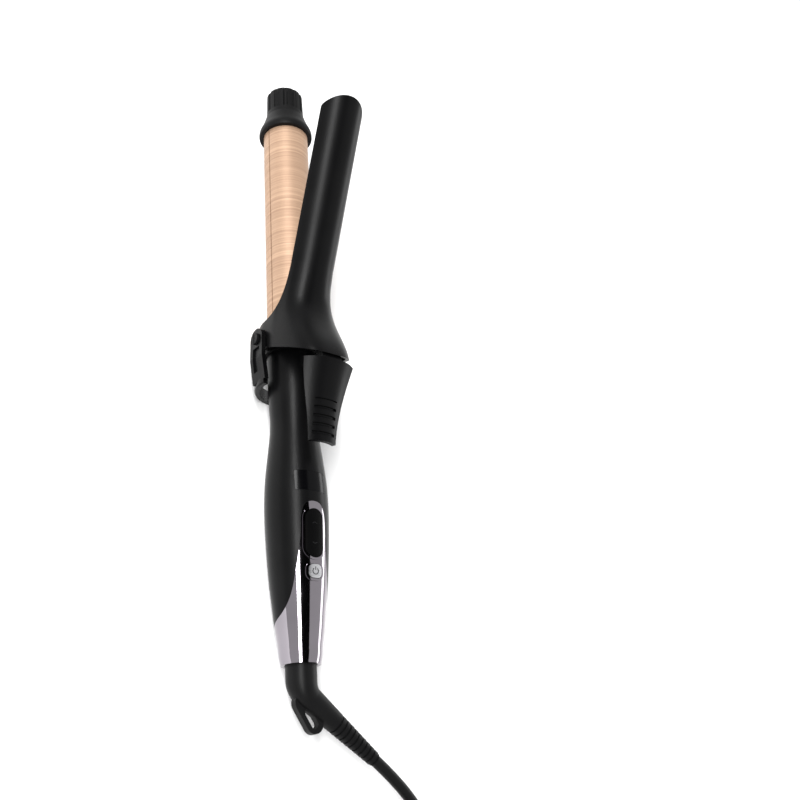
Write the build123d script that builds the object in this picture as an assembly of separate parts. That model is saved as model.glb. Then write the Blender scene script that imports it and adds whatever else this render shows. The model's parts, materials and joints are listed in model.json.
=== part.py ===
from build123d import *
import math
import os

# A 32 mm curling iron with a hinged clip, a folding stand and a swivelling mains cord.
# Each piece is drawn in the iron's own frame: Y runs along the barrel from the cord end to the tip,
# Z points out of the controls and X goes across. "place" then lays the iron on its back on a table.

# ---- driving dimensions, mm and degrees ----
BARREL_R = 16.0
BARREL_WALL = 1.6
BARREL_START = 204.0
BARREL_END = 386.0
SEAM_Z = 2.5
SEAM_GAP = 1.1
COLLAR_Y = 381.8
COLLAR_TOP = 398.8
CAP_TOP = 420.4
CAP_R = 13.5
CAP_FLUTES = 12

HANDLE_TOP = 200.0
HANDLE_WALL = 2.3
COVER_WALL = 1.3
SHELL_SPLIT_Z = -9.0
HANDLE_PROFILE = [
    (0.6, 11.8), (2.2, 12.3), (11, 13.4), (20, 14.65), (30, 15.75), (40, 16.85), (50, 17.8), (60, 18.55),
    (78, 19.5), (94, 19.9), (105, 19.7), (115, 19.1), (126, 17.95), (137, 16.6), (151, 15.35), (163, 15.7),
    (182, 16.4), (HANDLE_TOP, 17.0),
]

WINDOW_Y = (102.0, 115.0)
WINDOW_HALF = 11.2
KEY_Y = 75.4
KEY_LENGTH = 30.2
KEY_WIDTH = 12.8
POWER_Y = 52.2
POWER_LENGTH = 8.7
POWER_WIDTH = 9.4
KEY_GAP = 0.3
RIM_WIDTH = 1.3

PIVOT_Y = 208.0
PIVOT_Z = 0.0
SCREW_R = 2.2
PIVOT_BORE_R = 2.25
CLIP_OPEN = 23.0
CLIP_R = 17.8
CLIP_COVER = 0.85
CLIP_TIP = 381.2
TIP_HALF = 16.6
TIP_ROUND = 13.0
PLATE_R = 16.9
PLATE_WALL = 0.55
BOSS_OUT = 20.4
HOOD_WALL = 2.2

ARM_IN = 24.4
ARM_THICK = 2.9
FOOT_R = 25.0
FOOT_WALL = 3.3
FOOT_Y = (175.5, 184.0)

BEND = 52.5
ELBOW_R = 9.3
ELBOW_END_R = 6.4
RELIEF_LENGTH = 36.0
CORD_R = 3.5

REST_TILT = 2.9
SHIFT = (-11.35, -182.86, 15.57)

# ---- the mains cord as it lies on the table, in the placed frame ----
CORD_ROUTE = [(37.83, -234.44, 12.96), (60.04, -251.46, 12.1), (79.3, -273.6, 5.0), (91.4, -301.0, 3.5),
              (95.6, -330.7, 3.5)]
TAIL_ROUTE = [(86.8, -363.6, 10.5), (73.2, -380.9, 8.2), (60.9, -399.1, 6.5)]
COIL_CENTRE = (52.5, -336.8)
COIL_OUT = 47.0
COIL_IN = 33.0
COIL_HEIGHT = 28.0
PLUG_HEADING = -124.0
PLUG_Z = 6.5


def place(shape):
    return Pos(*SHIFT) * Rot(REST_TILT, 0, 0) * shape


def box(x0, x1, y0, y1, z0, z1):
    centre = ((x0 + x1) / 2, (y0 + y1) / 2, (z0 + z1) / 2)
    return Pos(*centre) * Box(x1 - x0, y1 - y0, z1 - z0)


def turned(outline):
    """A solid of revolution about Y from a closed outline of (radius, y) points."""
    return revolve(make_face(Polyline(*outline, close=True)), Axis.Y, 360)


def rod_y(radius, y0, y1, x=0.0, z=0.0):
    return Pos(x, (y0 + y1) / 2, z) * Rot(90, 0, 0) * Cylinder(radius, y1 - y0)


def rod_x(radius, x0, x1, y, z):
    return Pos((x0 + x1) / 2, y, z) * Rot(0, 90, 0) * Cylinder(radius, x1 - x0)


def rod_z(radius, z0, z1, x, y):
    return Pos(x, y, (z0 + z1) / 2) * Cylinder(radius, z1 - z0)


def side_prism(points, half_width=60.0):
    """A prism across X from a closed outline of (y, z) points."""
    face = make_face(Polyline(*[(-half_width, y, z) for y, z in points], close=True))
    return extrude(face, 2 * half_width, dir=(1, 0, 0))


def opened(shape):
    """Turn a clip piece from its closed place to its open one."""
    return Pos(0, PIVOT_Y, PIVOT_Z) * Rot(CLIP_OPEN, 0, 0) * Pos(0, -PIVOT_Y, -PIVOT_Z) * shape


def keep_top(shape, z):
    return shape & box(-60, 60, -100, 500, z, 120)


# ---- handle ----
def handle_body(inset, stretch=0.0):
    """The handle's outer surface as a solid, moved inwards by inset."""
    points = [(r - inset, y) for y, r in HANDLE_PROFILE]
    skin = Spline(*points)
    low, high = points[0][1] - stretch - 0.01, points[-1][1] + stretch + 0.01
    rest = Polyline(points[-1], (points[-1][0], high), (0, high), (0, low), (points[0][0], low), points[0])
    return revolve(make_face([skin, rest]), Axis.Y, 360)


def cover_region():
    """Side view of the tail cover: it wraps the cord end and runs up the front as a tongue."""
    edge = Spline((0, 96.2, 20.6), (0, 94.5, 19.5), (0, 92, 18.8), (0, 89, 18.3), (0, 78, 17.5),
                  (0, 62.7, 16.0), (0, 47.8, 13.4), (0, 35, 9.2), (0, 29, 4.3), (0, 24.7, -3.6),
                  (0, 20.5, -11), (0, 16.5, -17.5))
    rest = Polyline((0, 16.5, -17.5), (0, -6, -17.5), (0, -6, 30), (0, 96.2, 30), (0, 96.2, 20.6))
    return extrude(Pos(-40, 0, 0) * make_face([edge, rest]), 80, dir=(1, 0, 0))


def slot_prism(y, length, width, grow, z0=8.0, z1=30.0):
    shape = SlotOverall(length + 2 * grow, width + 2 * grow, rotation=90)
    return extrude(Pos(0, y, z0) * shape, z1 - z0)


def button_prism(grow, z0=8.0, z1=30.0):
    shape = RectangleRounded(POWER_WIDTH + 2 * grow, POWER_LENGTH + 2 * grow, 3.2 + grow)
    return extrude(Pos(0, POWER_Y, z0) * shape, z1 - z0)


def window_prism(grow):
    y0, y1 = WINDOW_Y
    shape = RectangleRounded(2 * (WINDOW_HALF + grow), y1 - y0 + 2 * grow, max(0.3, 1.2 + grow))
    return extrude(Pos(0, (y0 + y1) / 2, 8) * shape, 22)


def outer_wall(proud):
    """The outer layer of the handle's wall, standing proud of its surface."""
    return handle_body(-proud) - handle_body(COVER_WALL, 4)


def tail_cover():
    skin = outer_wall(0) & cover_region()
    rim = outer_wall(0.5) & slot_prism(KEY_Y, KEY_LENGTH, KEY_WIDTH, RIM_WIDTH)
    rim += outer_wall(0.8) & button_prism(RIM_WIDTH)
    lip = turned([(9.7, 0.6), (11.9, 0.6), (11.9, 0.9), (9.7, 0.9)])
    cover = skin + rim + lip
    cover -= slot_prism(KEY_Y, KEY_LENGTH, KEY_WIDTH, 0)
    return cover - button_prism(0)


def handle_shell():
    shell = handle_body(0) - handle_body(HANDLE_WALL, 4)
    wall = outer_wall(2)
    shell -= wall & cover_region()
    shell -= wall & slot_prism(KEY_Y, KEY_LENGTH, KEY_WIDTH, RIM_WIDTH)
    shell -= wall & button_prism(RIM_WIDTH)
    shell -= turned([(9.0, -1), (14, -1), (14, 0.95), (9.0, 0.95)])
    shell -= wall & window_prism(0)
    shell -= window_prism(-1.6)
    shell -= slot_prism(KEY_Y, KEY_LENGTH, KEY_WIDTH, 0)
    return shell - button_prism(0)


def display_window():
    return outer_wall(-0.05) & window_prism(-0.12)


def rocker_key():
    plate = (handle_body(-0.35) - handle_body(3.2, 4)) & slot_prism(KEY_Y, KEY_LENGTH, KEY_WIDTH, -KEY_GAP)
    plus_y, minus_y = KEY_Y + 7.2, KEY_Y - 7.1
    plate += box(-1.3, 1.3, plus_y - 0.25, plus_y + 0.25, 18, 19.75)
    plate += box(-0.25, 0.25, plus_y - 1.3, plus_y + 1.3, 18, 19.75)
    return plate + box(-1.3, 1.3, minus_y - 0.25, minus_y + 0.25, 18, 19.25)


def power_button():
    return (handle_body(-1.1) - handle_body(3.2, 4)) & button_prism(-KEY_GAP)


# ---- inside the handle ----
def control_board():
    board = box(-7, 7, 44, 117, 9.0, 10.6)
    return board - rod_z(1.2, 8, 12, 0, 60) - rod_z(1.2, 8, 12, 0, 98)


def display_module():
    return box(-7, 7, 104.2, 114.2, 10.6, 13.6)


def tact_switches():
    parts = []
    for y, top in ((POWER_Y, 13.4), (KEY_Y - 7.1, 15.2), (KEY_Y + 7.2, 15.2)):
        base = box(-3, 3, y - 3, y + 3, 10.6, top - 0.7)
        parts.append(base + rod_z(1.5, top - 0.8, top, 0, y))
    return Compound(children=parts)


def power_relay():
    return fillet(box(-6, 6, 68, 92, -4, 9.0).edges().filter_by(Axis.Z), 1)


def swivel_socket():
    return turned([(6.1, 3.2), (9.2, 3.2), (9.8, 12), (10.6, 24), (3, 24), (3, 21), (7.6, 21), (7.6, 14),
                   (6.1, 14)])


def contact_disc():
    return turned([(2.0, 18.6), (7.5, 18.6), (7.5, 20.9), (2.0, 20.9)])


def straight_wire(a, b, radius):
    start, end = Vector(*a), Vector(*b)
    way = end - start
    return extrude(Plane(origin=a, z_dir=way) * Circle(radius), way.length)


def mains_leads():
    return Compound(children=[straight_wire((x, 24.6, z), (x, 43.6, 9.8), 0.9) for x, z in ((-3, 3), (3, 3))])


def heater_leads():
    return Compound(children=[straight_wire((x, 117.4, 9.8), (x, 221.0, 0), 0.9) for x in (-3, 3)])


# ---- barrel ----
def barrel_tube():
    inner = BARREL_R - BARREL_WALL
    return turned([(inner, BARREL_START), (BARREL_R, BARREL_START), (BARREL_R, BARREL_END), (inner, BARREL_END)])


def barrel_front_shell():
    return keep_top(barrel_tube(), SEAM_Z + SEAM_GAP / 2)


def barrel_rear_shell():
    return barrel_tube() & box(-60, 60, -100, 500, -120, SEAM_Z - SEAM_GAP / 2)


def barrel_mount():
    return turned([(10, 190), (14.3, 190), (14.3, 218), (10, 218)])


def heat_spreader(sign):
    block = rod_y(14.1, 222, 376)
    block -= box(-20, 20, 200, 400, -1.5, 30) if sign < 0 else box(-20, 20, 200, 400, -30, 1.5)
    return block - rod_y(5.5, 200, 400, 0, sign * 8.0)


def ceramic_heater():
    return box(-6.5, 6.5, 225, 370, -1.4, 1.4)


def sensor_rod(x, y0, y1):
    return rod_y(1.2, y0, y1, x, 0)


def tip_insulator():
    return turned([(0, 377), (14.3, 377), (14.3, 386.2), (8.0, 386.2), (8.0, 398.4), (0, 398.4)])


def tip_collar():
    curve = Spline((19.1, COLLAR_Y + 0.3), (19.3, 384.0), (18.8, 386.8), (17.3, 390.2), (15.7, 394.4),
                   (14.3, COLLAR_TOP))
    rest = Polyline((14.3, COLLAR_TOP), (8.1, COLLAR_TOP), (8.1, 386.6), (16.1, 386.6), (16.1, COLLAR_Y),
                    (18.8, COLLAR_Y), (19.1, COLLAR_Y + 0.3))
    return revolve(make_face([curve, rest]), Axis.Y, 360)


def tip_cap():
    cap = turned([(0, 398.9), (CAP_R + 0.5, 398.9), (CAP_R, 403), (CAP_R - 0.4, CAP_TOP), (0, CAP_TOP)])
    cap = fillet(cap.edges().filter_by(GeomType.CIRCLE).sort_by(Axis.Y)[-1], 1.4)
    for i in range(CAP_FLUTES):
        groove = Rot(0, i * 360 / CAP_FLUTES, 0) * Pos(CAP_R + 0.5, 413, 0) * Rot(90, 0, 0) * Cylinder(1.9, 20)
        cap -= groove
    return cap


# ---- hinge ----
def hinge_block():
    ring = turned([(16.1, 200.2), (19.0, 200.2), (19.0, 217), (17.6, 218.4), (16.1, 218.4)])
    for x0, x1 in ((-BOSS_OUT, -16.6), (16.6, BOSS_OUT)):
        ring += rod_x(5.5, x0, x1, PIVOT_Y, PIVOT_Z)
        ring -= rod_x(SCREW_R, x0 - 1, x1 + 1, PIVOT_Y, PIVOT_Z)
    return ring - rod_y(16.1, 199, 220)


def hinge_screws():
    parts = []
    for side in (-1, 1):
        head = ARM_IN + ARM_THICK + 0.2
        shank = rod_x(SCREW_R, *sorted((side * 16.3, side * (head + 0.5))), PIVOT_Y, PIVOT_Z)
        cap = rod_x(4.0, *sorted((side * head, side * (head + 1.4))), PIVOT_Y, PIVOT_Z)
        slot = box(*sorted((side * (head + 0.8), side * (head + 2))), PIVOT_Y - 5, PIVOT_Y + 5,
                   PIVOT_Z - 0.5, PIVOT_Z + 0.5)
        parts.append(shank + cap - slot)
    return Compound(children=parts)


def clip_spring():
    """A leaf spring between the hinge block and the hood."""
    outer = ThreePointArc((0, 215, 19.9), (0, 201, 24.5), (0, 194, 36.5))
    inner = ThreePointArc((0, 215, 19.1), (0, 200.5, 23.9), (0, 193.3, 36.5))
    ends = [Line(outer @ 0, inner @ 0), Line(outer @ 1, inner @ 1)]
    return extrude(make_face([outer, inner] + ends), 4, dir=(1, 0, 0), both=True)


# ---- clip, drawn closed ----
HOOD_STATIONS = [
    # y, half width, height of the crown, squareness of the shoulders (1 is an ellipse)
    (264, 17.8, 17.8, 1.0), (252, 18.2, 18.6, 0.98), (242, 19.2, 20.9, 0.94), (232, 21.0, 26.2, 0.88),
    (222, 22.9, 35.4, 0.80), (212, 23.8, 46.6, 0.72), (203.5, 23.8, 54.0, 0.68),
]


def hood_section(y, half, crown, square):
    plane = Plane(origin=(0, y, 0), x_dir=(1, 0, 0), z_dir=(0, -1, 0))
    points = []
    for i in range(13):
        c, s = math.cos(math.pi * i / 12), math.sin(math.pi * i / 12)
        points.append((math.copysign(half * abs(c) ** square, c), crown * max(0.0, s) ** square))
    points[0], points[-1] = (half, 0), (-half, 0)
    upper = Spline(*points, tangents=[(0, 1), (0, -1)])
    lower = EllipticalCenterArc((0, 0), half, half, start_angle=180, arc_size=180)
    return plane * make_face([upper, lower])


def hood_body(inset):
    sections = [hood_section(y, half - inset, crown - inset, square) for y, half, crown, square in HOOD_STATIONS]
    if inset:
        y, half, crown, square = HOOD_STATIONS[-1]
        sections.append(hood_section(y - 6, half - inset, crown + 3 - inset, square))
    return loft(sections)


def clip_side_region():
    """Side view of the clip: its edges run along the barrel, then drop into the ears."""
    points = [(264, 7.0), (238, 7.2), (229, 6.2), (223, 1.5), (218.5, -6.5), (214.5, -11.5), (210, -13.2),
              (203.5, -13.5)]
    edge = Spline(*[(0, y, z) for y, z in points], tangents=[(0, -1, 0), (0, -1, 0)])
    rest = Polyline((0, 203.5, -13.5), (0, 203.5, 70), (0, 400, 70), (0, 400, 7.0), (0, 264, 7.0))
    return extrude(Pos(-40, 0, 0) * make_face([edge, rest]), 80, dir=(1, 0, 0))


def tip_planform(tip, half):
    """Top view of the clip with its rounded tip."""
    end = EllipticalCenterArc((0, tip - TIP_ROUND), half, TIP_ROUND, start_angle=0, arc_size=180)
    rest = Polyline((-half, tip - TIP_ROUND), (-half, 190), (half, 190), (half, tip - TIP_ROUND))
    return extrude(Pos(0, 0, -40) * make_face([end, rest]), 120, dir=(0, 0, 1))


def clip_cover():
    tube = rod_y(CLIP_R, 263, CLIP_TIP) & tip_planform(CLIP_TIP, TIP_HALF)
    outer = tube + hood_body(0)
    inner = rod_y(CLIP_R - CLIP_COVER, 236, CLIP_TIP + 5) + hood_body(HOOD_WALL)
    hood = (outer - inner) & clip_side_region()
    for x0, x1 in ((-40, -15), (15, 40)):
        hood -= rod_x(PIVOT_BORE_R, x0, x1, PIVOT_Y, PIVOT_Z)
    return opened(hood)


def clip_plate():
    plate = rod_y(PLATE_R, 240, CLIP_TIP - 3) - rod_y(PLATE_R - PLATE_WALL, 230, 400)
    plate = keep_top(plate, 7.6) & tip_planform(CLIP_TIP - 3, TIP_HALF - 0.8)
    return opened(plate)


# ---- thumb lever, drawn where it lies with the clip open ----
LEVER_STATIONS = [
    # y, centre height of the arc, outer radius, half angle
    (179.5, 20.0, 29.0, 39.5), (166, 16.4, 26.2, 37.0), (150, 14.0, 23.4, 32.0), (129.5, 12.4, 21.2, 28.5),
]
LEVER_THICK = 2.6
GRIP_GROOVES = 5
GRIP_PITCH = 5.3


def lever_section(y, centre, radius, half_angle, inset=0.0):
    plane = Plane(origin=(0, y, centre), x_dir=(1, 0, 0), z_dir=(0, -1, 0))
    angles = (90 - half_angle, 90, 90 + half_angle)

    def point(r, a):
        return (r * math.cos(math.radians(a)), r * math.sin(math.radians(a)))

    outer = ThreePointArc(*[point(radius, a) for a in angles])
    inner = ThreePointArc(*[point(radius - LEVER_THICK, a) for a in angles])
    ends = [Line(outer @ 0, inner @ 0), Line(outer @ 1, inner @ 1)]
    return plane * make_face([outer, inner] + ends)


def thumb_lever():
    lever = loft([lever_section(*station) for station in LEVER_STATIONS])
    corner = extrude(Pos(0, 160, 0) * RectangleRounded(60, 61, 5), 80)
    lever = lever & (corner + box(-40, 40, 160, 185, 0, 80))
    for i in range(GRIP_GROOVES):
        y = 134.5 + i * GRIP_PITCH
        centre, radius = 12.6 + 0.075 * (y - 134.5), 21.5 + 0.11 * (y - 134.5)
        ring = Pos(0, y, centre) * Rot(90, 0, 0) * Torus(radius, 1.0)
        lever -= ring & box(-8.2, 8.2, y - 3, y + 3, 20, 60)
    neck = side_prism([(181.5, 36), (186, 40), (186, 45.4), (181, 46.4), (176, 45.4), (176, 44.0)], 7.0)
    return lever + neck - clip_cover()


# ---- folding stand ----
def across(x, y, z, width, height):
    """A rectangle standing across the arm."""
    return Plane(origin=(x, y, z), x_dir=(1, 0, 0), z_dir=(0, -1, 0)) * Rectangle(width, height)


def stand_arm(side):
    centre = side * (ARM_IN + ARM_THICK / 2)
    low = side * (FOOT_R - FOOT_WALL / 2)
    arm = loft([across(centre, PIVOT_Y, 0, ARM_THICK, 14.6), across(centre, 195, -0.6, ARM_THICK, 14.7),
                across(low, FOOT_Y[0] + 3, -1.5, ARM_THICK, 15.0)], ruled=True)
    arm += rod_x(7.3, *sorted((side * ARM_IN, side * (ARM_IN + ARM_THICK))), PIVOT_Y, PIVOT_Z)
    outside = side * (ARM_IN + ARM_THICK + 0.4)
    arm -= loft([across(outside, PIVOT_Y - 6.2, 0, 3.4, 8.0), across(outside, 195, -0.6, 3.4, 8.2),
                 across(side * (FOOT_R + 1.1), FOOT_Y[1] + 1.5, -1.2, 3.4, 8.6)], ruled=True)
    return arm - rod_x(PIVOT_BORE_R, *sorted((side * 20, side * 32)), PIVOT_Y, PIVOT_Z)


def stand():
    y0, y1 = FOOT_Y
    strap = turned([(FOOT_R - FOOT_WALL, y0), (FOOT_R - 0.6, y0), (FOOT_R, y0 + 1), (FOOT_R, y1 - 2.5),
                    (FOOT_R - 1.2, y1), (FOOT_R - FOOT_WALL, y1)])
    strap = strap & box(-60, 60, 0, 300, -60, 4)
    whole = strap + stand_arm(-1) + stand_arm(1)
    sole = Pos(0, (y0 + y1) / 2, -FOOT_R + 0.31) * Rot(-REST_TILT, 0, 0) * Pos(0, 0, -10) * Box(60, 60, 20)
    return whole - sole


# ---- swivel and cord exit ----
def elbow_path():
    start, radius = 7.0, 14.0
    turn = math.radians(BEND)
    mid = (radius * (1 - math.cos(turn)), -start - radius * math.sin(turn))
    way = (math.sin(turn), -math.cos(turn))
    return mid, way, radius, start


def elbow_station(angle, radius, along=0.0):
    """A circle across the elbow's centre line, angle degrees into its bend."""
    _, _, bend_r, start = elbow_path()
    a = math.radians(angle)
    x = bend_r * (1 - math.cos(a)) + along * math.sin(a)
    y = -start - bend_r * math.sin(a) - along * math.cos(a)
    return Plane(origin=(x, y, 0), z_dir=(math.sin(a), -math.cos(a), 0)) * Circle(radius)


def swivel_elbow():
    stem = turned([(0, 2), (6.0, 2), (6.0, 14.2), (7.4, 14.2), (7.4, 16.6), (6.4, 18), (0, 18)])
    top = rod_y(ELBOW_R, -7.0, 2.0)
    bend = loft([elbow_station(0, ELBOW_R), elbow_station(18, 9.0), elbow_station(36, 8.3),
                 elbow_station(BEND, 7.6)])
    tail = loft([elbow_station(BEND, 7.6), elbow_station(BEND, ELBOW_END_R, relief_start())])
    fin = Pos(3.4, -26.3, 0) * Rot(0, 0, 32) * (SlotOverall(25, 11.4, rotation=90))
    fin = extrude(fin, 2.3, both=True)
    hole = Pos(4.9, -29.3, 0) * Rot(0, 0, 33) * SlotOverall(12.0, 4.8, rotation=90)
    hole = extrude(hole, 12, both=True)
    body = bend + tail
    return stem + top + body + (fin - hole)


def relief_start():
    mid, way, _, _ = elbow_path()
    return (20.6 - mid[0]) / way[0]


def bend_protector():
    """A tapered, ribbed sleeve that the cord leaves through."""
    outline = [(0, 0)]
    pitch, count = 3.6, 10
    for i in range(count):
        radius = 6.3 - 1.9 * i / (count - 1)
        outline += [(radius, i * pitch), (radius, i * pitch + 2.2), (radius - 1.0, i * pitch + 2.5),
                    (radius - 1.0, (i + 1) * pitch - 0.25)]
    outline += [(4.0, RELIEF_LENGTH), (0, RELIEF_LENGTH)]
    sleeve = turned(outline)
    mid, way, _, _ = elbow_path()
    return Pos(20.6, mid[1] + way[1] * relief_start(), 0) * Rot(0, 0, BEND + 180) * sleeve


# ---- cord, drawn in the placed frame ----
def cord_tube(route):
    """Straight runs joined by tangent arcs as large as the runs allow."""
    points = [Vector(*p) for p in route]
    radii = []
    for a, b, c in zip(points, points[1:], points[2:]):
        turn = math.radians((b - a).get_angle(c - b))
        radii.append(0.45 * min((b - a).length, (c - b).length) / math.tan(turn / 2))
    print("bend radii", [round(r, 1) for r in radii])
    path = FilletPolyline(*points, radius=radii)
    section = Plane(origin=points[0], z_dir=points[1] - points[0]) * Circle(CORD_R)
    tube = sweep(section, path=path)
    print("tube", round(tube.volume), "section x length", round(math.pi * CORD_R ** 2 * path.length))
    return tube


def cord_coil():
    ring = Cylinder(COIL_OUT, COIL_HEIGHT) - Cylinder(COIL_IN, COIL_HEIGHT)
    ring = fillet(ring.edges().filter_by(GeomType.CIRCLE), 3.2)
    ring = Pos(*COIL_CENTRE, COIL_HEIGHT / 2) * ring
    return ring - cord_tie() - cord_tube(CORD_ROUTE) - cord_tube(TAIL_ROUTE)


def cord_tie():
    mid = (COIL_OUT + COIL_IN) / 2
    wide, tall = COIL_OUT - COIL_IN, COIL_HEIGHT
    band = Box(wide + 2.4, 6, tall + 1.2) - Box(wide + 0.2, 8, tall + 0.2)
    band = Pos(mid, 0, tall / 2 + 0.6) * band
    return Pos(*COIL_CENTRE, 0) * Rot(0, 0, 150) * band


def at_plug(shape):
    """Move a plug piece, drawn along +X from its cord end, to the end of the cord."""
    return Pos(*TAIL_ROUTE[-1]) * Rot(0, 0, PLUG_HEADING) * shape


def plug_body():
    body = Pos(37, 0, 0) * Box(30, 25, 2 * PLUG_Z)
    body = fillet(body.edges(), 3.0)
    outline = [(0, 0), (0, 4.3), (3, 4.4), (3.4, 4.0), (6, 4.1), (6.4, 4.8), (9.6, 4.9), (10, 4.2), (12.6, 4.3),
               (13, 5.2), (16, 5.3), (16.4, 4.6), (19, 4.7), (19.4, 5.8), (26, 6.0), (26, 0)]
    relief = revolve(make_face(Polyline(*outline, close=True)), Axis.X, 360)
    return at_plug(body + relief)


def plug_blades():
    parts = []
    for side in (-1, 1):
        blade = box(52, 69, side * 6.35 - 0.75, side * 6.35 + 0.75, -3.15, 3.15)
        hole = Pos(64.5, side * 6.35, 0) * Rot(90, 0, 0) * Cylinder(1.5, 3)
        parts.append(at_plug(blade - hole))
    return Compound(children=parts)


PARTS = {
    "handle_front_shell": lambda: keep_top(handle_shell(), SHELL_SPLIT_Z),
    "handle_rear_shell": lambda: handle_shell() & box(-60, 60, -100, 500, -120, SHELL_SPLIT_Z),
    "tail_cover": tail_cover,
    "display_window": display_window,
    "rocker_key": rocker_key,
    "power_button": power_button,
    "control_board": control_board,
    "display_module": display_module,
    "tact_switches": tact_switches,
    "power_relay": power_relay,
    "swivel_socket": swivel_socket,
    "contact_disc": contact_disc,
    "mains_leads": mains_leads,
    "heater_leads": heater_leads,
    "barrel_front_shell": barrel_front_shell,
    "barrel_rear_shell": barrel_rear_shell,
    "barrel_mount": barrel_mount,
    "heat_spreader_front": lambda: heat_spreader(1),
    "heat_spreader_rear": lambda: heat_spreader(-1),
    "ceramic_heater": ceramic_heater,
    "thermistor": lambda: sensor_rod(9.5, 240, 262),
    "thermal_fuse": lambda: sensor_rod(-9.5, 236, 252),
    "tip_insulator": tip_insulator,
    "tip_collar": tip_collar,
    "tip_cap": tip_cap,
    "hinge_block": hinge_block,
    "hinge_screws": hinge_screws,
    "clip_spring": clip_spring,
    "clip_cover": clip_cover,
    "clip_plate": clip_plate,
    "thumb_lever": thumb_lever,
    "stand": stand,
    "swivel_elbow": swivel_elbow,
    "bend_protector": bend_protector,
}


CORD_PARTS = {
    "cord_run": lambda: cord_tube(CORD_ROUTE),
    "cord_tail": lambda: cord_tube(TAIL_ROUTE) - plug_body(),
    "cord_coil": cord_coil,
    "cord_tie": cord_tie,
    "plug_body": plug_body,
    "plug_blades": plug_blades,
}


def main():
    os.makedirs("parts", exist_ok=True)
    for name, make in PARTS.items():
        export_step(place(make()), f"parts/{name}.step")
    for name, make in CORD_PARTS.items():
        export_step(make(), f"parts/{name}.step")


main()
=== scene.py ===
import json
import math

import bmesh
import bpy
from mathutils import Matrix, Vector


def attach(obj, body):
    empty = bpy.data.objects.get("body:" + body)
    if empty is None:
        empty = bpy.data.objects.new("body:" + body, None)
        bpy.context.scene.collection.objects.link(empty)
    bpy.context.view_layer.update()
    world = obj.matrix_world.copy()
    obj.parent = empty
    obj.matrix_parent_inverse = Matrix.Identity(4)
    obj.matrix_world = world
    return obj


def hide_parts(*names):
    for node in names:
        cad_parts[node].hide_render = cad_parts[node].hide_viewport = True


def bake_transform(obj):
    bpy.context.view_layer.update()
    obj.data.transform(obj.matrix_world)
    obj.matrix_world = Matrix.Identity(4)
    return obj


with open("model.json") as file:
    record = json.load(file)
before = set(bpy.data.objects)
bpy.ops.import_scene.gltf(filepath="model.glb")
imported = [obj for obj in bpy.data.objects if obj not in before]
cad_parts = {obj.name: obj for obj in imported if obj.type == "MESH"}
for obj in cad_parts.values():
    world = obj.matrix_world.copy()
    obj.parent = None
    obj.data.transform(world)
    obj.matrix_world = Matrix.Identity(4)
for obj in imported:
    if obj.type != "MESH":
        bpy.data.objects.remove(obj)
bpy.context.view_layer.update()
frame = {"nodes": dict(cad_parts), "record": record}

scene = bpy.context.scene
nodes = frame["nodes"]
joints = {j["name"]: j for j in frame["record"]["behaviour"]["joints"]}

# ---- the iron's own frame: Y along the barrel from the cord end, Z out of the controls, mm ----
ORIGIN = Vector(joints["cord_swivel"]["pos_m"])
ALONG = Vector(joints["cord_swivel"]["axis"]).normalized()
ACROSS = Vector((1, 0, 0))
OUT = ACROSS.cross(ALONG)
IRON = Matrix((ACROSS, ALONG, OUT)).transposed()


def at(x, y, z):
    """A point given in the iron's frame, in mm, as a point of the scene in metres."""
    return ORIGIN + IRON @ (Vector((x, y, z)) * 0.001)


# ---- camera: its place and directions in the iron's frame ----
CAMERA_AT = (-319.6, -97.9, 497.3)
LOOK = (0.5803, 0.4082, -0.7047)
UP = (-0.1992, 0.9102, 0.3632)
LENS = 44.55     # mm, as is the sensor's width
SENSOR = 36.0
NEAREST = 0.01   # metres


def make_camera():
    look = (IRON @ Vector(LOOK)).normalized()
    right = look.cross(IRON @ Vector(UP)).normalized()
    up = right.cross(look)
    data = bpy.data.cameras.new("camera")
    data.lens = LENS
    data.sensor_width = SENSOR
    data.clip_start = NEAREST
    camera = bpy.data.objects.new("camera", data)
    turn = Matrix((right, up, -look)).transposed().to_4x4()
    camera.matrix_world = Matrix.Translation(at(*CAMERA_AT)) @ turn
    scene.collection.objects.link(camera)
    scene.camera = camera


make_camera()

# ---- materials ----


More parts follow.
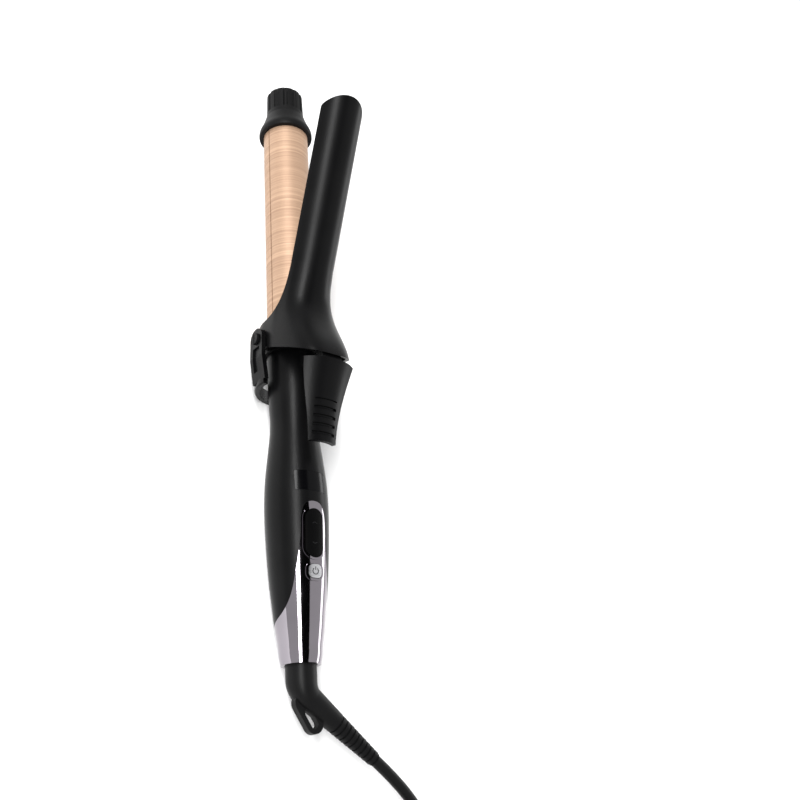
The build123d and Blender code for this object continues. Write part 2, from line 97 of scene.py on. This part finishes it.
class Shader:
    """A node material, built round one Principled BSDF."""

    def __init__(self, name, color, roughness, metallic=0.0, **sockets):
        self.material = bpy.data.materials.new(name)
        self.material.use_nodes = True
        self.tree = self.material.node_tree
        self.bsdf = self.tree.nodes["Principled BSDF"]
        self.set("Base Color", (*color, 1))
        self.set("Roughness", roughness)
        self.set("Metallic", metallic)
        for socket, value in sockets.items():
            self.set(socket.replace("_", " "), value)

    def set(self, socket, value):
        self.bsdf.inputs[socket].default_value = value

    def node(self, kind, **sockets):
        """A new node, with values for some of its inputs."""
        node = self.tree.nodes.new(kind)
        for socket, value in sockets.items():
            node.inputs[socket.replace("_", " ")].default_value = value
        return node

    def link(self, out, into):
        self.tree.links.new(out, into)

    def coords(self, scale=(1, 1, 1)):
        """Object coordinates turned to run along the iron, stretched by scale."""
        turn = (-math.asin(ALONG.z), 0, 0)
        mapping = self.node("ShaderNodeMapping", Scale=scale, Rotation=turn)
        self.link(self.node("ShaderNodeTexCoord").outputs["Object"], mapping.inputs["Vector"])
        return mapping.outputs["Vector"]

    def noise(self, vector, scale, detail=4.0, rough=0.5):
        node = self.node("ShaderNodeTexNoise", Scale=scale, Detail=detail, Roughness=rough)
        self.link(vector, node.inputs["Vector"])
        return node.outputs["Fac"]

    def ramp(self, value, low, high, a=0.3, b=0.7):
        """Maps value from a..b to low..high."""
        node = self.node("ShaderNodeMapRange", From_Min=a, From_Max=b, To_Min=low, To_Max=high)
        self.link(value, node.inputs["Value"])
        return node.outputs["Result"]

    def drift(self, fac, dark, light):
        """Base colour that drifts between dark and light as fac goes from 0 to 1."""
        node = self.node("ShaderNodeMix")
        node.data_type = "RGBA"
        self.link(fac, node.inputs["Factor"])
        first, second = [s for s in node.inputs if s.type == "RGBA"]
        first.default_value = (*dark, 1)
        second.default_value = (*light, 1)
        mixed = next(s for s in node.outputs if s.type == "RGBA")
        self.link(mixed, self.bsdf.inputs["Base Color"])

    def sheen(self, fac, rough):
        """Roughness that drifts from rough[0] to rough[1]."""
        self.link(self.ramp(fac, *rough), self.bsdf.inputs["Roughness"])

    def bump(self, height, distance, strength=1.0):
        node = self.node("ShaderNodeBump", Distance=distance, Strength=strength)
        self.link(height, node.inputs["Height"])
        self.link(node.outputs["Normal"], self.bsdf.inputs["Normal"])


def moulded(name, dark, light, rough, grain=900.0, depth=0.00004, specular=0.11):
    """Moulded plastic: a faint spark-eroded grain, cloudy wear in its sheen and slight colour drift."""
    clouds, wear = 38.0, 16.0
    s = Shader(name, dark, rough[0], Specular_IOR_Level=specular)
    vector = s.coords()
    s.drift(s.ramp(s.noise(vector, clouds, 5.0), 0, 1), dark, light)
    s.sheen(s.noise(vector, wear, 6.0, 0.6), rough)
    s.bump(s.noise(vector, grain, 3.0, 0.6), depth)
    return s.material


def brushed(name, dark, light, rough, streaks=(8, 900, 8), metallic=1.0):
    """Metal brushed round the barrel: fine streaks across, drifting in tone along it."""
    depth = 0.00002
    s = Shader(name, dark, rough[0], metallic, Specular_IOR_Level=0.5)
    vector = s.coords(streaks)
    fine = s.noise(vector, 1.0, 6.0, 0.65)
    s.drift(s.ramp(fine, 0, 1, 0.32, 0.68), dark, light)
    s.sheen(s.noise(vector, 1.7, 4.0), rough)
    s.bump(fine, depth)
    return s.material


def polished(name, dark, light, rough):
    """Mirror metal with faint waviness and small smudges."""
    clouds, smudges, waves = 22.0, 60.0, 45.0
    s = Shader(name, dark, rough[0], 1.0)
    vector = s.coords()
    s.drift(s.ramp(s.noise(vector, clouds, 3.0), 0, 1), dark, light)
    s.sheen(s.noise(vector, smudges, 6.0, 0.6), rough)
    s.bump(s.noise(vector, waves, 2.0), 0.00003, 0.5)
    return s.material


BLACK = (0.0016, 0.0016, 0.0018)
BLACK_SHEEN = (0.0028, 0.0028, 0.0030)
MATERIALS = {
    "handle_black": moulded("satin_black", BLACK, BLACK_SHEEN, (0.31, 0.38)),
    "clip_black": moulded("clip_satin", BLACK, BLACK_SHEEN, (0.30, 0.37)),
    "tip_black": moulded("tip_matte", (0.003, 0.003, 0.0032), (0.005, 0.005, 0.0052), (0.42, 0.55), 1400.0),
    "stand_black": moulded("stand_gloss", BLACK, BLACK_SHEEN, (0.24, 0.34), 1200.0, 0.00002),
    "key_black": moulded("key_matte", (0.0008, 0.0008, 0.0009), (0.0014, 0.0014, 0.0015), (0.42, 0.5), 1800.0,
                         specular=0.05),
    "cord_black": moulded("cord_rubber", (0.003, 0.003, 0.0032), (0.006, 0.006, 0.0062), (0.32, 0.46),
                          1300.0),
    "tie_black": moulded("tie_rubber", (0.012, 0.012, 0.013), (0.02, 0.02, 0.02), (0.55, 0.7), 1500.0),
    "window_black": moulded("window_gloss", (0.0012, 0.0012, 0.0015), (0.0016, 0.0016, 0.002), (0.16, 0.22),
                            200.0, 0.000002, specular=0.12),
    "inner_plastic": moulded("inner_nylon", (0.50, 0.48, 0.42), (0.60, 0.58, 0.52), (0.5, 0.65)),
    "ceramic_white": moulded("ceramic", (0.76, 0.74, 0.68), (0.84, 0.82, 0.77), (0.35, 0.5), 700.0),
    "lead_white": moulded("lead_sleeve", (0.62, 0.61, 0.57), (0.72, 0.71, 0.68), (0.4, 0.55)),
    "board_green": moulded("board", (0.012, 0.09, 0.03), (0.02, 0.13, 0.045), (0.25, 0.4), 500.0),
    "barrel_rose": brushed("rose_gold", (0.30, 0.185, 0.12), (0.50, 0.335, 0.225), (0.48, 0.58),
                           (6, 620, 6), metallic=0.35),
    "plate_alu": brushed("clip_lining", (0.40, 0.38, 0.36), (0.55, 0.53, 0.50), (0.32, 0.45)),
    "spreader_alu": brushed("spreader", (0.02, 0.018, 0.016), (0.035, 0.03, 0.027), (0.5, 0.6), metallic=0.3),
    "steel": brushed("plain_steel", (0.42, 0.42, 0.44), (0.60, 0.60, 0.62), (0.22, 0.36), (400, 60, 400)),
    "contact_brass": brushed("brass", (0.55, 0.38, 0.13), (0.70, 0.50, 0.20), (0.25, 0.4), (300, 300, 300)),
    "cover_chrome": polished("smoked_chrome", (0.27, 0.25, 0.275), (0.33, 0.305, 0.335), (0.04, 0.09)),
    "button_silver": brushed("button_silver", (0.55, 0.55, 0.57), (0.72, 0.72, 0.74), (0.25, 0.35),
                             (200, 1200, 200)),
}
SLOT_OF = {p["node"]: p["material_slot"] for p in frame["record"]["subparts"]}


def dress_nodes():
    for name, obj in nodes.items():
        obj.data.materials.clear()
        obj.data.materials.append(MATERIALS[SLOT_OF[name]])


dress_nodes()

# ---- the cord: one spline, its control points are the route's, in metres ----
CORD_D = 0.007
CORD_ROUTE = [(0.03783, -0.23444, 0.01296), (0.06004, -0.25146, 0.0121), (0.0793, -0.2736, 0.005),
              (0.0914, -0.301, 0.0035)]
TAIL_ROUTE = [(0.0868, -0.3636, 0.0105), (0.0732, -0.3809, 0.0082), (0.0609, -0.3991, 0.0065)]
COIL_CENTRE = (0.0525, -0.3368)
TURN_PLACES = [(43.5, 3.5), (36.5, 3.5), (36.5, 10.5), (36.5, 17.5), (36.5, 24.5), (43.5, 24.5),
               (43.5, 17.5), (43.5, 10.5)]   # radius and height of each turn, mm
MOVE_AT = [0.80, 0.60, 0.60, 0.60, 0.40, 0.20, 0.20]   # where in its turn each one moves to the next place
MOVE_WIDTH = 0.16                                      # and over how much of a turn
COIL_TURNS = 7
COIL_FROM = 8.0          # degrees, where the cord joins the coil
COIL_PAST = 26           # degrees past the last whole turn, where the tail leaves it
POINTS_A_TURN = 20


def coil_place(turns):
    """Radius and height of the winding after so many turns."""
    k = int(turns)
    if k >= len(MOVE_AT):
        return TURN_PLACES[-1]
    t = min(1.0, max(0.0, (turns - k - MOVE_AT[k]) / MOVE_WIDTH))
    t = t * t * (3 - 2 * t)
    (r0, z0), (r1, z1) = TURN_PLACES[k], TURN_PLACES[k + 1]
    return r0 + (r1 - r0) * t, z0 + (z1 - z0) * t


def coil_points():
    """The winding's control points in metres, clockwise from above."""
    points = []
    for i in range(int((COIL_TURNS + COIL_PAST / 360) * POINTS_A_TURN) + 1):
        turns = i / POINTS_A_TURN
        radius, z = coil_place(turns)
        a = math.radians(COIL_FROM - 360 * turns)
        x = COIL_CENTRE[0] + radius * math.cos(a) / 1000
        y = COIL_CENTRE[1] + radius * math.sin(a) / 1000
        points.append((x, y, z / 1000))
    return points


def make_curve(name, points, radius):
    """A round tube on a smooth curve."""
    data = bpy.data.curves.new(name, "CURVE")
    data.dimensions = "3D"
    data.bevel_depth = radius
    data.bevel_resolution = 6
    data.resolution_u = 6
    data.use_fill_caps = True
    spline = data.splines.new("NURBS")
    spline.points.add(len(points) - 1)
    for point, place in zip(spline.points, points):
        point.co = (*place, 1)
    spline.order_u = 3
    spline.use_endpoint_u = True
    obj = bpy.data.objects.new(name, data)
    scene.collection.objects.link(obj)
    return obj


def curve_line(curve):
    """The points of the curve's own line, without the tube round it."""
    curve.data.bevel_depth = 0
    mesh = bpy.data.meshes.new_from_object(curve)
    return [v.co.copy() for v in mesh.vertices]


def make_cord():
    """The cord from the bend protector to the plug, one tube that bends where it leaves the swivel."""
    curve = make_curve("cord_route", CORD_ROUTE + coil_points() + TAIL_ROUTE, CORD_D / 2)
    mesh = bpy.data.meshes.new_from_object(curve)
    mesh.name = "mains_cord"
    path = curve_line(curve)
    bpy.data.objects.remove(curve)
    cord = bpy.data.objects.new("mains_cord", mesh)
    scene.collection.objects.link(cord)
    for face in mesh.polygons:
        face.use_smooth = True
    mesh.materials.clear()
    mesh.materials.append(MATERIALS["cord_black"])
    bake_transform(cord)
    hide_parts("cord_run", "cord_tail", "cord_coil")


make_cord()

# ---- small raised marks on the button and the key ----
BUTTON_MIDDLE = 52.2   # along the iron, mm
KEY_MIDDLE = 75.4
ABOVE_ALL = 60         # further out than anything on the handle, mm
TUBE_SIDES = 8


def mesh_piece(name, verts, faces, slot, body):
    """A new piece from its points and faces, which rides on a body."""
    mesh = bpy.data.meshes.new(name)
    mesh.from_pydata([tuple(v) for v in verts], [], faces)
    mesh.validate()
    obj = bpy.data.objects.new(name, mesh)
    scene.collection.objects.link(obj)
    bm = bmesh.new()
    bm.from_mesh(mesh)
    bmesh.ops.recalc_face_normals(bm, faces=bm.faces)
    bm.to_mesh(mesh)
    bm.free()
    mesh.materials.append(MATERIALS[slot])
    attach(obj, body)
    return obj


def tube(points, radius):
    """A closed-ended tube along points given in the iron's frame, in mm."""
    path = [Vector(p) for p in points]
    verts, faces = [], []
    for i, p in enumerate(path):
        way = (path[min(i + 1, len(path) - 1)] - path[max(i - 1, 0)]).normalized()
        side = way.cross(Vector((0, 0, 1))).normalized()
        up = side.cross(way)
        for k in range(TUBE_SIDES):
            a = 2 * math.pi * k / TUBE_SIDES
            verts.append(at(*(p + side * radius * math.cos(a) + up * radius * math.sin(a))))
    for ring in range(0, (len(path) - 1) * TUBE_SIDES, TUBE_SIDES):
        for k in range(TUBE_SIDES):
            n = (k + 1) % TUBE_SIDES
            faces.append((ring + k, ring + n, ring + TUBE_SIDES + n, ring + TUBE_SIDES + k))
    faces.append(tuple(range(TUBE_SIDES)))
    faces.append(tuple(range(len(verts) - TUBE_SIDES, len(verts))))
    return verts, faces


def face_height(name, x, y):
    """How far out, in mm, the face of a node is above (x, y) of the iron's frame."""
    obj = nodes[name]
    back = obj.matrix_world.inverted()
    way = (back.to_3x3() @ -OUT).normalized()
    _, place, _, _ = obj.ray_cast(back @ at(x, y, ABOVE_ALL), way)
    return (obj.matrix_world @ place - ORIGIN).dot(OUT) * 1000


def raised_lines(name, node, paths, line, slot, body):
    """Thin lines lying on the face of a node; each path is a list of (x, y) in the iron's frame, in mm."""
    verts, faces = [], []
    for path in paths:
        more, more_faces = tube([(x, y, face_height(node, x, y)) for x, y in path], line)
        faces += [tuple(k + len(verts) for k in face) for face in more_faces]
        verts += more
    piece = mesh_piece(name, verts, faces, slot, body)
    for face in piece.data.polygons:
        face.use_smooth = len(face.vertices) == 4


def make_power_icon():
    """The usual broken ring and bar, raised on the power button."""
    radius, half_gap, steps = 1.9, 38, 24
    turns = [math.radians(90 + half_gap + (360 - 2 * half_gap) * i / steps) for i in range(steps + 1)]
    ring = [(radius * math.cos(a), BUTTON_MIDDLE + radius * math.sin(a)) for a in turns]
    bar = [(0, BUTTON_MIDDLE + 0.6 + 0.4 * i) for i in range(6)]
    raised_lines("power_icon", "power_button", [ring, bar], line=0.24, slot="key_black", body="power")


def make_key_marks():
    """A small chevron towards each end of the rocker key."""
    from_middle, step, slope = 6.6, 0.4, 0.22
    marks = []
    for way in (1, -1):
        marks.append([(step * i, KEY_MIDDLE + way * (from_middle - slope * abs(i))) for i in range(-4, 5)])
    raised_lines("key_marks", "rocker_key", marks, line=0.16, slot="tie_black", body="key")


make_power_icon()
make_key_marks()

# ---- floor and lights ----
FLOOR_SIZE = 12.0   # metres
WORLD_LIGHT = 0.78
DULL = 0.9          # roughness


def matt(name, dark, light, specular):
    """A dull studio surface."""
    s = Shader(name, dark, DULL, Specular_IOR_Level=specular)
    clouds = 3.0
    s.drift(s.ramp(s.noise(s.coords(), clouds), 0, 1), dark, light)
    return s.material


def flat_piece(name, width, length, material):
    """A flat rectangle about its own origin."""
    mesh = bpy.data.meshes.new(name)
    w, h = width / 2, length / 2
    mesh.from_pydata([(-w, -h, 0), (w, -h, 0), (w, h, 0), (-w, h, 0)], [], [(0, 1, 2, 3)])
    mesh.materials.append(material)
    piece = bpy.data.objects.new(name, mesh)
    scene.collection.objects.link(piece)
    return piece


def make_floor():
    white = matt("floor_white", (0.92, 0.92, 0.92), (0.94, 0.94, 0.94), 0.1)
    floor = flat_piece("floor", FLOOR_SIZE, FLOOR_SIZE, white)


def aimed(place, target):
    """A frame at place whose -Z looks at target and whose Y keeps to the iron's length."""
    back = (Vector(place) - Vector(target)).normalized()
    side = Vector((0, 1, 0)).cross(back).normalized()
    turn = Matrix((side, back.cross(side), back)).transposed().to_4x4()
    return Matrix.Translation(place) @ turn


def area_light(name, place, target, size, power):
    data = bpy.data.lights.new(name, "AREA")
    data.shape = "RECTANGLE"
    data.size, data.size_y = size
    data.energy = power
    light = bpy.data.objects.new(name, data)
    light.matrix_world = aimed(place, target)
    scene.collection.objects.link(light)


def make_world():
    world = bpy.data.worlds.new("studio")
    scene.world = world
    world.use_nodes = True
    back = world.node_tree.nodes["Background"]
    back.inputs["Color"].default_value = (1, 1, 1, 1)
    back.inputs["Strength"].default_value = WORLD_LIGHT


def dark_card(name, place, target, size):
    """A black studio card: it only shows as a dark stripe in the polished cover."""
    card = flat_piece(name, *size, matt(name, (0.003, 0.003, 0.003), (0.005, 0.005, 0.005), 0.0))
    card.matrix_world = aimed(place, target)


make_floor()
make_world()
area_light("key", place=(-0.80, 0.0, 1.25), target=(0, 0, 0), size=(0.34, 2.2), power=40)
area_light("fill", place=(1.6, 0.0, 0.42), target=(0, 0, 0), size=(0.4, 1.8), power=9)
dark_card("card", place=(-0.14, -0.1, 1.15), target=(0, -0.1, 0), size=(0.78, 2.6))
scene.view_settings.view_transform = "Standard"
scene.view_settings.look = "None"
